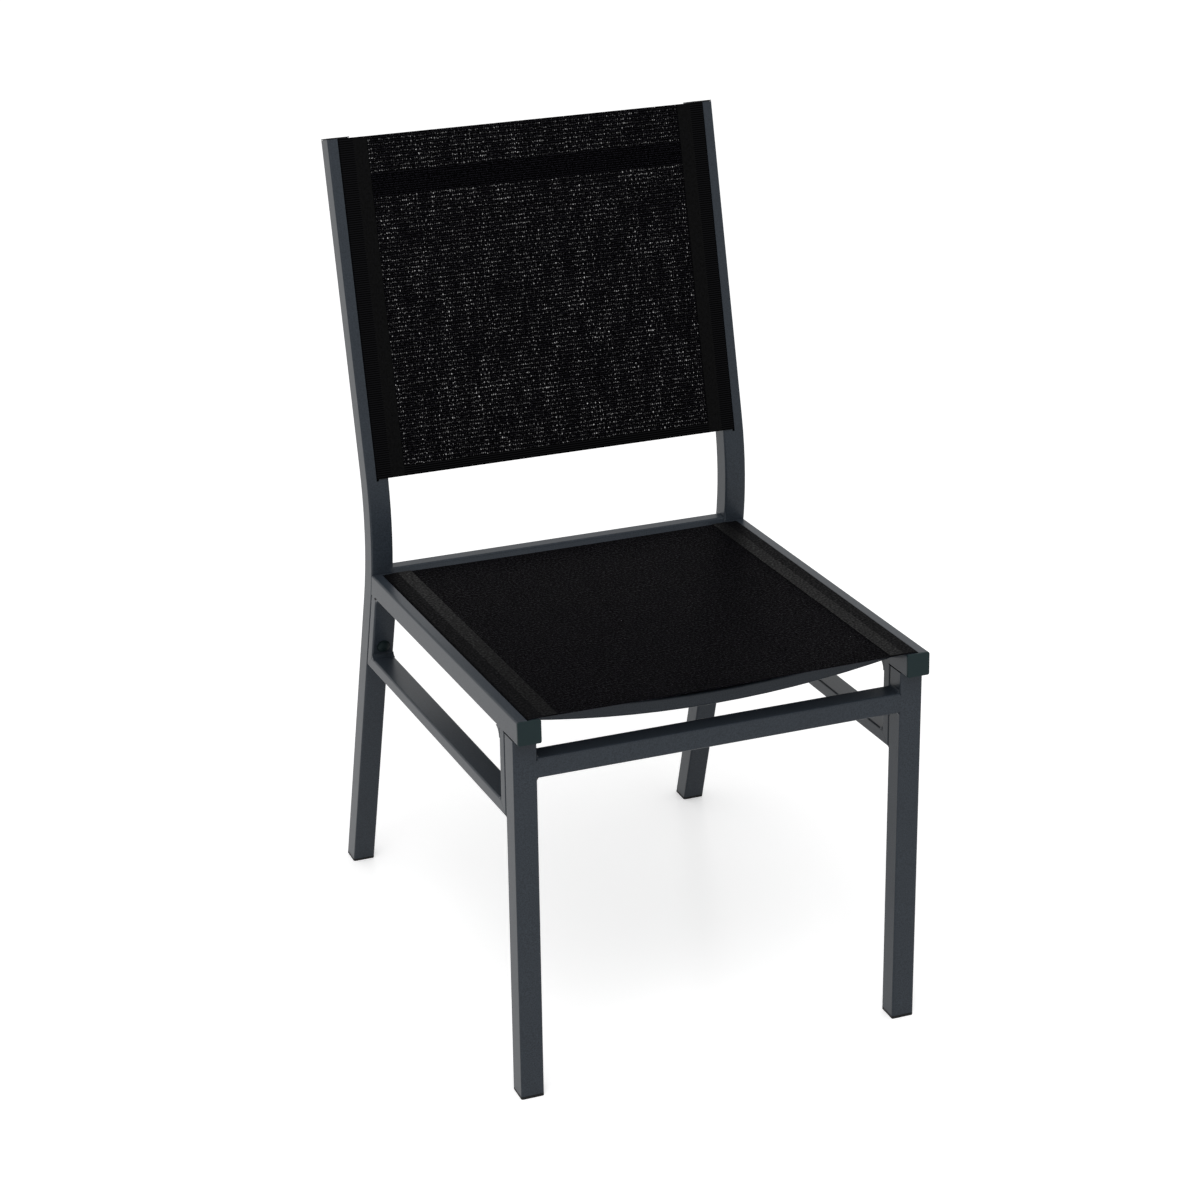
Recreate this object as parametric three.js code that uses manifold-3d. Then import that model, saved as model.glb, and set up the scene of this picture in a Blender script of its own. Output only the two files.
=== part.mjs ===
// Armless sling patio chair: a bolted frame of square aluminium tube with two stretched mesh slings.
// Units are millimetres. The chair faces -Y, +X is at a viewer's right from the front, and +Z is up.
// It is drawn from the front face of its rail caps (y = 0) and the floor (z = 0).
// At the end it is moved so that the origin is at the centre of its footprint.

import * as THREE from 'three';
import { mergeVertices } from 'three/addons/utils/BufferGeometryUtils.js';
import Module from 'manifold-3d';

const wasm = await Module();
wasm.setup();

// Frame tube and its joints
const tube = 26;                // outer side of the square frame tube
const tubeWall = 1.5;
const cornerRadius = 2.2;       // outer corner of every tube
const seam = 0.3;               // gap left at a welded, bolted or plugged joint
const looseFit = 0.6;           // how much wider a slot or a hole is than what passes it
const overrun = 5;              // how far a cutting body passes the face that it cuts
const reach = 1600;             // side of the blocks that trim tube ends
const meetingRounds = 12;       // steps that close in on a crossing with the bent tube

// Overall layout
const frameWidth = 466;         // over the outer faces of the seat rails
const seatHeight = 445;         // top of the rails at their front
const seatPitch = 2.65;         // degrees that the seat falls to the rear

// Rear uprights: leg, bend and back post in one length of tube
const bendSetback = 475;        // where the two straight centre lines would cross
const bendRise = 19.2;          // that crossing above the top of the rails at their front
const bendRadius = 305;         // at the centre of the tube
const legLean = 15.5;           // degrees from vertical, foot to the rear
const backLean = 15.6;          // degrees from vertical, top to the rear
const backLength = 454;         // from the crossing point to the top end
const bendSteps = 10;

// Front legs and their stretcher
const legSetback = 14.2;        // front face of the leg behind the cap face, at the rail
const legRake = 1.3;            // degrees from vertical, foot to the front
const stretcherDrop = 50.3;     // its top below the top of the rails at their front
const stretcherHeight = 22.7;
const weldRadius = 3.5;         // rounded weld over and under each end of the stretcher
const weldSteps = 5;

// Side rings: a stub down each leg and a lower bar, bolted to both legs
const ringThickness = 15;
const ringDepth = 81;           // clear height between the rail and the lower bar
const ringWeldRadius = 5;       // rounded weld in a corner of the ring
const railWeldRadius = 11;      // the same where the front stub meets the rail
const boltRise = 16;            // axis of the ring bolts above the lower bar, along the stub
const boltRadius = 3;
const boltHeadRadius = 7;
const boltHeadHeight = 4.8;
const washerRadius = 7.8;
const washerThickness = 1.2;
const nutRadius = 5.8;          // over the corners
const nutThickness = 5;
const boltTail = 2;             // thread past the nut
const turnedSides = 20;

// Cross tubes
const spreaderSize = 15;
const spreaderSetback = 36;     // its front face behind the cap face
const spreaderDrop = 0.3;       // top of its ends below the tops of the rails
const spreaderBow = 17.6;       // how far its middle hangs below its ends
const spreaderSteps = 14;
const rearRailDepth = 16.3;
const rearRailRise = 5;         // its top above the tops of the side rails
const backBarDepth = 19;
const backBarDrop = 42.5;       // its top below the top ends of the uprights

// Slings: a mesh cloth with a rod in a pocket along each side, drawn through slots in the tubes
const meshThickness = 1;
const pocketThickness = 1.7;    // two layers of cloth
const pocketWidth = 15.8;       // from the slot to the inner edge of the part round the rod
const hemWidth = 16;            // sewn double band inside the pocket
const slotWidth = 2.8;
const rodRadius = 3;
const rodSides = 12;
const seatSag = 0.8;
const seatSlingInset = 3;       // front edge of the cloth behind the cap face
const seatSlingRearGap = 4.5;   // cloth to the front faces of the uprights
const backSlingLap = 13.5;      // how far the back cloth reaches down past the top of the bend
const backSag = 1.5;
const sagSteps = 12;
const slotEnd = 2.5;            // slot past the end of the cloth

// Plastic caps, plugs and glides
const capThickness = 2.4;
const capChamfer = 0.7;
const plugLength = 14;
const topLip = 1.2;
const glideLip = 3;

// Sizes that follow from the ones above
const rad = THREE.MathUtils.degToRad;
const bore = tube - 2 * tubeWall;
const sideCentre = (frameWidth - tube) / 2;
const insideWidth = frameWidth - 2 * tube;
const pitch = rad(seatPitch);
const lean = rad(legLean);
const recline = rad(backLean);
const rake = rad(legRake);
const upright = Math.PI / 2;
const tangentLength = bendRadius * Math.tan((lean + recline) / 2);
const bendLength = bendRadius * (lean + recline);
const straightBack = backLength - tangentLength;
const topLength = bendLength + straightBack;
const backSlingLength = straightBack + backSlingLap;
const lapFall = (backSlingLap + slotEnd) ** 2 / (2 * bendRadius);

// Vectors and lines in the side plane, where an angle runs from +Y towards +Z
const at = (y, z) => new THREE.Vector3(0, y, z);
const towards = (angle) => at(Math.cos(angle), Math.sin(angle));
const along = (point, angle, distance) => point.clone().addScaledVector(towards(angle), distance);

function crossing(p, angleP, q, angleQ) {
  const across = towards(angleQ + upright);
  const distance = q.clone().sub(p).dot(across) / towards(angleP).dot(across);
  return along(p, angleP, distance);
}

// A point of the uprights by its length along the centre line, from the lower end of the bend.
// Ahead is a distance towards the front from that line.
const bendStart = along(at(bendSetback, seatHeight + bendRise), upright + lean, -tangentLength);
const bendCentre = along(bendStart, lean, bendRadius);

function uprightAt(length, ahead = 0) {
  const turned = THREE.MathUtils.clamp(length / bendRadius, 0, lean + recline);
  const rearward = lean - turned;
  const past = length - turned * bendRadius;
  const point = along(bendCentre, rearward, -bendRadius - ahead);
  const tangent = towards(rearward + upright);
  return { point: point.addScaledVector(tangent, past), tangent, rearward };
}

// The length at which a line ahead of the centre line meets another line of the side plane
function lengthAtLine(point, angle, ahead = 0) {
  let length = 0;
  for (let round = 0; round < meetingRounds; round += 1) {
    const near = uprightAt(length, ahead);
    const meeting = crossing(near.point, near.rearward + upright, point, angle);
    length += meeting.sub(near.point).dot(near.tangent);
  }
  return length;
}

// Sections

function roundedRectangle(shape, width, depth, radius) {
  const x = width / 2 - radius;
  const y = depth / 2 - radius;
  shape.absarc(x, -y, radius, -upright, 0);
  shape.absarc(x, y, radius, 0, upright);
  shape.absarc(-x, y, radius, upright, Math.PI);
  shape.absarc(-x, -y, radius, Math.PI, Math.PI + upright);
  shape.closePath();
  return shape;
}

function bar(width, depth, radius = cornerRadius) {
  return roundedRectangle(new THREE.Shape(), width, depth, radius);
}

function hollow(width, depth) {
  const x = width / 2 - tubeWall;
  const y = depth / 2 - tubeWall;
  const inner = [[-x, -y], [x, -y], [x, y], [-x, y]].map(([px, py]) => new THREE.Vector2(px, py));
  const section = bar(width, depth);
  section.holes.push(new THREE.Path(inner));
  return section;
}

const squareTube = hollow(tube, tube);

// Extrusions. A path is a list of stations, each with a point and a tangent.

class StationPath extends THREE.Curve {
  constructor(stations) {
    super();
    this.stations = stations;
  }

  station(share) {
    return this.stations[Math.round(share * (this.stations.length - 1))];
  }

  getPointAt(share, target = new THREE.Vector3()) {
    return target.copy(this.station(share).point);
  }

  getTangentAt(share, target = new THREE.Vector3()) {
    return target.copy(this.station(share).tangent);
  }
}

function sweep(section, stations) {
  return new THREE.ExtrudeGeometry(section, {
    steps: stations.length - 1, curveSegments: 3, extrudePath: new StationPath(stations),
  });
}

function straight(section, from, to) {
  const tangent = to.clone().sub(from).normalize();
  return sweep(section, [{ point: from, tangent }, { point: to, tangent }]);
}

// A length of the uprights, or of a line ahead of them, with its steps only in the bend
function uprightSweep(section, from, to, ahead = 0) {
  const lengths = [from];
  for (let step = 0; step <= bendSteps; step += 1) {
    const length = bendLength * step / bendSteps;
    if (length > from && length < to) lengths.push(length);
  }
  lengths.push(to);
  return sweep(section, lengths.map((length) => uprightAt(length, ahead)));
}

function crossways(section, width) {
  const geometry = new THREE.ExtrudeGeometry(section, {
    depth: width, bevelEnabled: false, curveSegments: 3,
  });
  return geometry.translate(0, 0, -width / 2).rotateY(upright);
}

// Booleans

function solid(geometry) {
  const bare = geometry.clone();
  bare.deleteAttribute('normal');
  bare.deleteAttribute('uv');
  const merged = mergeVertices(bare);
  const index = Uint32Array.from(merged.index.array);
  const body = new wasm.Manifold(new wasm.Mesh({
    numProp: 3, vertProperties: merged.attributes.position.array, triVerts: index,
  }));
  if (body.volume() > 0) return body;
  return new wasm.Manifold(new wasm.Mesh({
    numProp: 3, vertProperties: merged.attributes.position.array, triVerts: index.reverse(),
  }));
}

function surface(body) {
  const { vertProperties, triVerts, numProp } = body.getMesh();
  const geometry = new THREE.BufferGeometry();
  const positions = new Float32Array(vertProperties.length / numProp * 3);
  for (let vertex = 0; vertex < positions.length / 3; vertex += 1) {
    for (let axis = 0; axis < 3; axis += 1) {
      positions[3 * vertex + axis] = vertProperties[numProp * vertex + axis];
    }
  }
  geometry.setAttribute('position', new THREE.BufferAttribute(positions, 3));
  geometry.setIndex(Array.from(triVerts));
  const faceted = geometry.toNonIndexed();
  faceted.computeVertexNormals();
  return faceted;
}

// All that lies past a line in the side plane, in the direction of an angle
function beyond(point, angle) {
  const block = new THREE.BoxGeometry(reach, reach, reach).translate(0, reach / 2, 0);
  return solid(block.rotateX(angle).translate(0, point.y, point.z));
}

// All that lies below a height
const below = (height) => beyond(at(0, height), -upright);

// Scene graph

const chair = new THREE.Group();

const finishes = {
  coat: { color: 0x45484c, roughness: 0.5, metalness: 0.35 },
  cap: { color: 0x283133, roughness: 0.6, metalness: 0 },
  glide: { color: 0x141516, roughness: 0.7, metalness: 0 },
  steel: { color: 0x3c4143, roughness: 0.4, metalness: 0.7 },
  mesh: { color: 0x131317, roughness: 0.8, metalness: 0 },
};

function add(parent, name, geometry, finish) {
  const mesh = new THREE.Mesh(geometry, new THREE.MeshStandardMaterial(finishes[finish]));
  mesh.name = name;
  parent.add(mesh);
  return mesh;
}

// Left and right copies stand in their own groups, at the centre planes of the side tubes.
const sides = { left: new THREE.Group(), right: new THREE.Group() };
sides.left.position.x = -sideCentre;
sides.right.position.x = sideCentre;
chair.add(sides.left, sides.right);

function addPair(name, geometry, finish) {
  for (const side of ['left', 'right']) add(sides[side], `${name}_${side}`, geometry, finish);
}

// Lines that the pieces share
const railTop = at(0, seatHeight);
const railUnder = along(railTop, upright - pitch, -tube);
const ringTop = along(railUnder, upright - pitch, -ringDepth);
const ringUnder = along(ringTop, upright - pitch, -ringThickness);
const legUp = upright - rake;
const legTop = crossing(at(legSetback, 0), upright, railUnder, -pitch);
const legRear = along(legTop, -rake, tube);
const frontStub = along(legRear, -rake, seam);
const stubInner = along(frontStub, -rake, ringThickness);
const legPoint = (height, behind = 0) => {
  const foot = along(legTop, -rake, behind);
  return crossing(foot, legUp, at(0, height), 0);
};

// Where the bent uprights meet the other lines
const stubOuterAhead = tube / 2 + seam;
const stubInnerAhead = stubOuterAhead + ringThickness;
const rearCornerLength = lengthAtLine(ringTop, -pitch, stubInnerAhead);
const rearCorner = uprightAt(rearCornerLength, stubInnerAhead).point;
const rearTurn = uprightAt(rearCornerLength).rearward;
const rearMitreOut = uprightAt(lengthAtLine(ringUnder, -pitch, stubOuterAhead), stubOuterAhead).point;
const seatRear = uprightAt(lengthAtLine(railTop, -pitch, tube / 2), tube / 2).point;
const footLength = lengthAtLine(at(0, -overrun), 0) - tube;
const topFront = uprightAt(topLength, tube / 2).point;

// Ring bolts, square to the stubs
const ringHoleRadius = boltRadius + looseFit / 2;
const gripLength = ringThickness + seam + tubeWall;
const rearBolt = uprightAt(rearCornerLength + boltRise, stubInnerAhead);
const frontCorner = crossing(stubInner, legUp, ringTop, -pitch);
const frontBolt = along(frontCorner, legUp, boltRise);

function boltHole(point, angle) {
  const length = gripLength + 2 * overrun;
  const drill = new THREE.CylinderGeometry(ringHoleRadius, ringHoleRadius, length, turnedSides);
  drill.translate(0, gripLength / 2, 0).rotateX(angle).translate(0, point.y, point.z);
  return solid(drill);
}

const rearHole = boltHole(rearBolt.point, rearBolt.rearward);
const frontHole = boltHole(frontBolt, Math.PI - rake);

// A slot for a sling in the face at z = 0, from past the tube's end to past the cloth's end.
// Fall is how far that face drops away along the slot.
function slingSlot(clothEnd, fall = 0) {
  const length = clothEnd + slotEnd + overrun;
  const cut = new THREE.BoxGeometry(slotWidth, length, 2 * (tubeWall + fall) + looseFit);
  return cut.translate(0, length / 2 - overrun, 0);
}

// Rear uprights, slotted in front for the back sling, cut level at the floor
const backSlot = slingSlot(backSlingLength, lapFall).rotateX(-upright - recline);
backSlot.translate(0, topFront.y, topFront.z);
const uprightBody = solid(uprightSweep(squareTube, footLength, topLength))
  .subtract(solid(backSlot))
  .subtract(below(glideLip + seam))
  .subtract(rearHole);
addPair('rear_upright', surface(uprightBody), 'coat');

// Front legs, cut to the rails above and level at the floor
const legFoot = legPoint(-overrun, tube / 2);
const legHead = along(legFoot, legUp, seatHeight + tube);
const legBody = solid(straight(squareTube, legFoot, legHead))
  .subtract(beyond(along(railUnder, upright - pitch, -seam), upright - pitch))
  .subtract(below(glideLip + seam))
  .subtract(frontHole);
addPair('front_leg', surface(legBody), 'coat');

// Seat rails, slotted on top for the seat sling, cut to the uprights behind
const railHeight = along(railTop, upright - pitch, -tube / 2);
const railMeet = lengthAtLine(railHeight, -pitch);
const railStart = along(railHeight, -pitch, capThickness + seam);
const uprightClear = solid(uprightSweep(bar(2 * tube, tube + 2 * seam), footLength, topLength));
const slingRear = seatRear.distanceTo(railTop) - seatSlingRearGap;
const seatSlot = slingSlot(slingRear).rotateX(-pitch).translate(0, railTop.y, railTop.z);
const railBody = solid(straight(squareTube, railStart, uprightAt(railMeet).point))
  .subtract(uprightClear)
  .subtract(solid(seatSlot));
addPair('seat_rail', surface(railBody), 'coat');

// Side rings: mitred corners with a rounded weld in each
const ringSection = hollow(tube, ringThickness);
const frontMitreOut = crossing(frontStub, legUp, ringUnder, -pitch);
const frontMitre = Math.atan2(frontCorner.z - frontMitreOut.z, frontCorner.y - frontMitreOut.y);
const rearMitre = Math.atan2(rearCorner.z - rearMitreOut.z, rearCorner.y - rearMitreOut.y);

function mitre(point, line, side) {
  const away = line + side * upright;
  return beyond(along(point, away, -seam / 2), away);
}

// A rounded weld: the corner of two lines filled up to an arc that touches both
const weldSink = tubeWall / 2;

function weldFillet(corner, angleA, angleB, radius, width) {
  const half = (angleB - angleA) / 2;
  const setback = radius / Math.tan(Math.abs(half));
  const centre = along(corner, angleA + half, radius / Math.sin(Math.abs(half)));
  const touchA = along(corner, angleA, setback);
  const touchB = along(corner, angleB, setback);
  const outline = [along(corner, angleA + half, -weldSink), along(touchB, angleA, -weldSink)];
  const start = touchB.clone().sub(centre);
  const end = touchA.clone().sub(centre);
  const startAngle = Math.atan2(start.z, start.y);
  let sweepAngle = Math.atan2(end.z, end.y) - startAngle;
  if (sweepAngle > Math.PI) sweepAngle -= 2 * Math.PI;
  if (sweepAngle < -Math.PI) sweepAngle += 2 * Math.PI;
  for (let step = 0; step <= weldSteps; step += 1) {
    outline.push(along(centre, startAngle + sweepAngle * step / weldSteps, radius));
  }
  outline.push(along(touchA, angleB, -weldSink));
  const shape = new THREE.Shape(outline.map((point) => new THREE.Vector2(point.y, point.z)));
  const geometry = new THREE.ExtrudeGeometry(shape, { depth: width, bevelEnabled: false });
  geometry.translate(0, 0, -width / 2);
  const swap = new THREE.Matrix4().makeBasis(towards(0), towards(upright), new THREE.Vector3(1, 0, 0));
  return solid(geometry.applyMatrix4(swap));
}

const barStart = along(ringUnder, upright - pitch, ringThickness / 2);
const barEnd = along(barStart, -pitch, bendSetback + tube + ringDepth);
const rearStubFace = beyond(along(rearCorner, rearTurn, -seam), rearTurn);
const frontStubFace = beyond(along(stubInner, -rake, seam), Math.PI - rake);
const barBack = Math.PI - pitch;
const rearBarWeld = weldFillet(rearCorner, upright + rearTurn, barBack, ringWeldRadius, tube)
  .subtract(rearStubFace);
const frontBarWeld = weldFillet(frontCorner, legUp, -pitch, ringWeldRadius, tube)
  .subtract(frontStubFace);
const lowerBarBody = solid(straight(ringSection, barStart, barEnd))
  .subtract(mitre(frontCorner, frontMitre, 1))
  .subtract(mitre(rearCorner, rearMitre, -1))
  .add(rearBarWeld)
  .add(frontBarWeld);
addPair('ring_lower_bar', surface(lowerBarBody), 'coat');

const underRail = beyond(along(railUnder, upright - pitch, -seam), upright - pitch);
const stubTop = crossing(stubInner, legUp, railUnder, -pitch);
const stubAxis = along(frontStub, -rake, ringThickness / 2);
const stubFoot = along(stubAxis, legUp, -ringDepth - ringThickness - tube);
const frontStubWeld = weldFillet(stubTop, -pitch, legUp - Math.PI, railWeldRadius, tube);
const frontStubBody = solid(straight(ringSection, stubFoot, along(stubAxis, legUp, tube)))
  .subtract(mitre(frontCorner, frontMitre, -1))
  .add(frontStubWeld)
  .subtract(underRail)
  .subtract(frontHole);
addPair('ring_front_stub', surface(frontStubBody), 'coat');

const rearStubFrom = rearCornerLength - ringThickness - tube;
const rearStubAhead = stubOuterAhead + ringThickness / 2;
const rearTop = uprightAt(lengthAtLine(railUnder, -pitch, stubInnerAhead), stubInnerAhead);
const rearStubWeld = weldFillet(rearTop.point, rearTop.rearward - upright, -pitch - Math.PI,
  ringWeldRadius, tube);
const rearStubBody = solid(uprightSweep(ringSection, rearStubFrom, railMeet, rearStubAhead))
  .subtract(mitre(rearCorner, rearMitre, 1))
  .add(rearStubWeld)
  .subtract(underRail)
  .subtract(rearHole);
addPair('ring_rear_stub', surface(rearStubBody), 'coat');

// Ring bolts: domed cap head and washer on the stub, hexagon nut inside the leg tube
const washerSeat = seam;
const shankEnd = gripLength + seam + nutThickness + boltTail;
const headBase = -washerSeat - washerThickness;
const domePoints = [[0, shankEnd], [boltRadius, shankEnd], [boltRadius, -washerSeat],
  [washerRadius, -washerSeat], [washerRadius, headBase], [boltHeadRadius, headBase]];
for (let step = 1; step <= weldSteps; step += 1) {
  const turn = upright * step / weldSteps;
  domePoints.push([boltHeadRadius * Math.cos(turn), headBase - boltHeadHeight * Math.sin(turn)]);
}
domePoints[domePoints.length - 1][0] = 0;
const boltProfile = domePoints.map(([radius, depth]) => new THREE.Vector2(radius, depth)).reverse();
const boltShape = new THREE.LatheGeometry(boltProfile, turnedSides);

const nutOutline = new THREE.Shape();
nutOutline.absarc(0, 0, nutRadius, 0, 2 * Math.PI);
const nutBore = new THREE.Path();
nutBore.absarc(0, 0, boltRadius + looseFit / 2, 0, 2 * Math.PI);
nutOutline.holes.push(nutBore);
const nutShape = new THREE.ExtrudeGeometry(nutOutline, {
  depth: nutThickness, bevelEnabled: false, curveSegments: 6,
}).rotateX(-upright).translate(0, gripLength + seam, 0);

for (const [name, shape] of [['bolt', boltShape], ['nut', nutShape]]) {
  for (const side of ['left', 'right']) {
    const rear = add(sides[side], `rear_ring_${name}_${side}`, shape, 'steel');
    rear.position.copy(rearBolt.point);
    rear.rotation.x = rearBolt.rearward;
    const front = add(sides[side], `front_ring_${name}_${side}`, shape, 'steel');
    front.position.copy(frontBolt);
    front.rotation.x = Math.PI - rake;
  }
}

// Front stretcher, flush with the legs, with a rounded weld over and under each end
const crossWidth = insideWidth - 2 * seam;
const stretcherSection = hollow(stretcherHeight, tube);
const stretcherAt = legPoint(seatHeight - stretcherDrop - stretcherHeight / 2, tube / 2);
const stretcherWeld = new THREE.Shape();
stretcherWeld.moveTo(-weldSink, weldSink);
stretcherWeld.lineTo(0, -weldRadius);
stretcherWeld.absarc(weldRadius, -weldRadius, weldRadius, Math.PI, upright, true);
stretcherWeld.lineTo(weldRadius, weldSink);
stretcherWeld.closePath();
const weldDepth = tube - 2 * cornerRadius;
const weldPrism = new THREE.ExtrudeGeometry(stretcherWeld, {
  depth: weldDepth, bevelEnabled: false, curveSegments: weldSteps,
}).translate(-crossWidth / 2, -stretcherHeight / 2, -weldDepth / 2).rotateX(upright);
const endTrim = new THREE.BoxGeometry(reach, reach, reach).translate(-crossWidth / 2 - reach / 2, 0, 0);
const lowerLeftWeld = solid(weldPrism).subtract(solid(endTrim));
const lowerRightWeld = solid(surface(lowerLeftWeld).rotateZ(Math.PI));
const upperLeftWeld = solid(surface(lowerLeftWeld).rotateX(Math.PI));
const upperRightWeld = solid(surface(lowerLeftWeld).rotateY(Math.PI));
const stretcherBody = solid(crossways(stretcherSection, crossWidth))
  .add(lowerLeftWeld)
  .add(lowerRightWeld)
  .add(upperLeftWeld)
  .add(upperRightWeld);
const stretcher = add(chair, 'front_stretcher', surface(stretcherBody), 'coat');
stretcher.position.copy(stretcherAt);
stretcher.rotation.x = -rake;

// Spreader bar under the seat, bowed down to clear the sling, cut to the inner faces of the rails
const halfSpan = insideWidth / 2;
const bowRadius = (halfSpan * halfSpan + spreaderBow * spreaderBow) / (2 * spreaderBow);
const bowAngle = Math.asin((halfSpan + overrun) / bowRadius);
const spreaderStations = [];
for (let step = 0; step <= spreaderSteps; step += 1) {
  const turn = bowAngle * (2 * step / spreaderSteps - 1);
  const fall = bowRadius * Math.cos(turn) - (bowRadius - spreaderBow);
  spreaderStations.push({
    point: new THREE.Vector3(bowRadius * Math.sin(turn), 0, -fall),
    tangent: new THREE.Vector3(Math.cos(turn), 0, Math.sin(turn)),
  });
}
const railGap = new THREE.BoxGeometry(crossWidth, reach, reach);
const spreaderBody = solid(sweep(hollow(spreaderSize, spreaderSize), spreaderStations))
  .intersect(solid(railGap));
const spreaderLine = along(railTop, upright - pitch, -spreaderDrop - spreaderSize / 2);
const spreader = add(chair, 'seat_spreader_bar', surface(spreaderBody), 'coat');
spreader.position.copy(along(spreaderLine, -pitch, spreaderSetback + spreaderSize / 2));
spreader.rotation.x = -pitch;

// Rear seat rail between the uprights, flush with their front faces
const rearRailMiddle = seatRear.z + rearRailRise - tube / 2;
const rearRailLine = uprightAt(lengthAtLine(at(0, rearRailMiddle), 0, tube / 2), tube / 2);
const rearRailShape = crossways(hollow(tube, rearRailDepth), crossWidth);
const rearRail = add(chair, 'rear_seat_rail', rearRailShape, 'coat');
rearRail.position.copy(along(rearRailLine.point, 0, rearRailDepth / 2));

// Back bar between the uprights, flush with their rear faces, clear of the sling
const backBar = add(chair, 'back_cross_bar', crossways(hollow(tube, backBarDepth), crossWidth), 'coat');
backBar.position.copy(uprightAt(topLength - backBarDrop - tube / 2, backBarDepth / 2 - tube / 2).point);
backBar.rotation.x = -recline;

// End caps of the rails: chamfered face outside, plug inside, below the rod's slot
const plugSide = bore - 2 * seam;
const capSide = tube - 2 * capChamfer;
const capDepth = capThickness - capChamfer;
const capFace = new THREE.ExtrudeGeometry(bar(capSide, capSide, cornerRadius - capChamfer), {
  depth: capDepth, bevelThickness: capChamfer, bevelSize: capChamfer, bevelSegments: 2, curveSegments: 3,
});
const capTrim = new THREE.BoxGeometry(reach, reach, reach).translate(0, 0, capDepth + reach / 2);
const plug = new THREE.ExtrudeGeometry(bar(plugSide, plugSide, cornerRadius - tubeWall), {
  depth: plugLength + capChamfer, bevelEnabled: false, curveSegments: 3,
}).translate(0, 0, capThickness - 2 * capChamfer);
const capBody = solid(capFace).subtract(solid(capTrim)).add(solid(plug));
const capShape = surface(capBody).translate(0, 0, capChamfer).rotateX(-upright);
for (const side of ['left', 'right']) {
  const cap = add(sides[side], `rail_cap_${side}`, capShape, 'cap');
  cap.position.copy(railHeight);
  cap.rotation.x = -pitch;
}

// Top plugs of the uprights: a thin lip over the tube end and a plug inside
const lipShape = new THREE.ExtrudeGeometry(bar(tube, tube), {
  depth: topLip, bevelEnabled: false, curveSegments: 3,
}).translate(0, 0, seam);
const topPlug = new THREE.ExtrudeGeometry(bar(plugSide, plugSide, cornerRadius - tubeWall), {
  depth: plugLength + seam + topLip / 2, bevelEnabled: false, curveSegments: 3,
}).translate(0, 0, -plugLength);
const topPlugShape = surface(solid(lipShape).add(solid(topPlug)));
for (const side of ['left', 'right']) {
  const top = add(sides[side], `upright_plug_${side}`, topPlugShape, 'glide');
  top.position.copy(uprightAt(topLength).point);
  top.rotation.x = -recline;
}

// Foot glides: a level lip under the tube and a plug that follows its slant
const above = beyond(at(0, glideLip), upright);
const abovePlug = beyond(at(0, glideLip + plugLength), upright);
const floor = below(0);
const plugBar = bar(plugSide, plugSide, cornerRadius - tubeWall);

function glide(whole, inner) {
  const lip = solid(whole).subtract(above).subtract(floor);
  return surface(lip.add(solid(inner).subtract(abovePlug).subtract(below(glideLip / 2))));
}

addPair('rear_glide', glide(uprightSweep(bar(tube, tube), footLength, -tube),
  uprightSweep(plugBar, footLength, -tube)), 'glide');
addPair('front_glide', glide(straight(bar(tube, tube), legFoot, legHead),
  straight(plugBar, legFoot, legHead)), 'glide');

// Slings: one section across the chair, drawn out along the rails or the uprights.
// Its sides dip into the slots, lie over the inner halves of the tubes, and the mesh sags between.
function slingSection(sag) {
  const lift = seam;
  const tailHalf = (slotWidth - looseFit) / 2;
  const hemInner = sideCentre - pocketWidth - hemWidth;
  const dip = (x) => (x < halfSpan ? sag * (1 - (x / halfSpan) ** 2) : 0);
  const lower = [[sideCentre + tailHalf, -tubeWall], [sideCentre - tailHalf, -tubeWall],
    [sideCentre - tailHalf, lift], [halfSpan, lift]];
  const upper = [[sideCentre + tailHalf, lift + pocketThickness / 2],
    [sideCentre + tailHalf - pocketThickness / 2, lift + pocketThickness],
    [halfSpan, lift + pocketThickness], [hemInner, lift + pocketThickness - dip(hemInner)]];
  for (let step = 0; step <= sagSteps; step += 1) {
    const x = hemInner * (1 - step / sagSteps);
    lower.push([x, lift - dip(x)]);
    upper.push([x, lift + meshThickness - dip(x)]);
  }
  const mirrored = (points) => points.map(([x, z]) => [-x, z]);
  const points = [...upper, ...mirrored(upper.slice(0, -1)).reverse(), ...mirrored(lower),
    ...lower.slice(0, -1).reverse()];
  return new THREE.Shape(points.map(([x, z]) => new THREE.Vector2(x, z)));
}

const seatCloth = new THREE.ExtrudeGeometry(slingSection(seatSag), {
  depth: slingRear - seatSlingInset, bevelEnabled: false,
}).rotateX(upright).translate(0, slingRear, 0);
const seatSling = add(chair, 'seat_sling', seatCloth, 'mesh');
seatSling.position.copy(railTop);
seatSling.rotation.x = -pitch;

const backCloth = new THREE.ExtrudeGeometry(slingSection(backSag), {
  depth: backSlingLength, bevelEnabled: false,
}).rotateX(upright);
const backSling = add(chair, 'back_sling', backCloth, 'mesh');
backSling.position.copy(topFront);
backSling.rotation.x = upright - recline;

// Rods in the sling pockets, inside the tubes behind their slots. The back rods end at the bend.
const rodDepth = tubeWall + seam + rodRadius;
const seatRodStart = Math.max(seatSlingInset, capThickness + plugLength + seam);
const seatRodLength = slingRear - seatRodStart;
const seatRod = new THREE.CylinderGeometry(rodRadius, rodRadius, seatRodLength, rodSides);
seatRod.translate(0, seatRodStart + seatRodLength / 2, -rodDepth);
const backRodLength = straightBack - plugLength - seam;
const backRod = new THREE.CylinderGeometry(rodRadius, rodRadius, backRodLength, rodSides);
backRod.translate(0, -plugLength - seam - backRodLength / 2, -rodDepth);
for (const side of ['left', 'right']) {
  const low = add(sides[side], `seat_sling_rod_${side}`, seatRod, 'mesh');
  low.position.copy(railTop);
  low.rotation.x = -pitch;
  const high = add(sides[side], `back_sling_rod_${side}`, backRod, 'mesh');
  high.position.copy(topFront);
  high.rotation.x = upright - recline;
}

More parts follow.
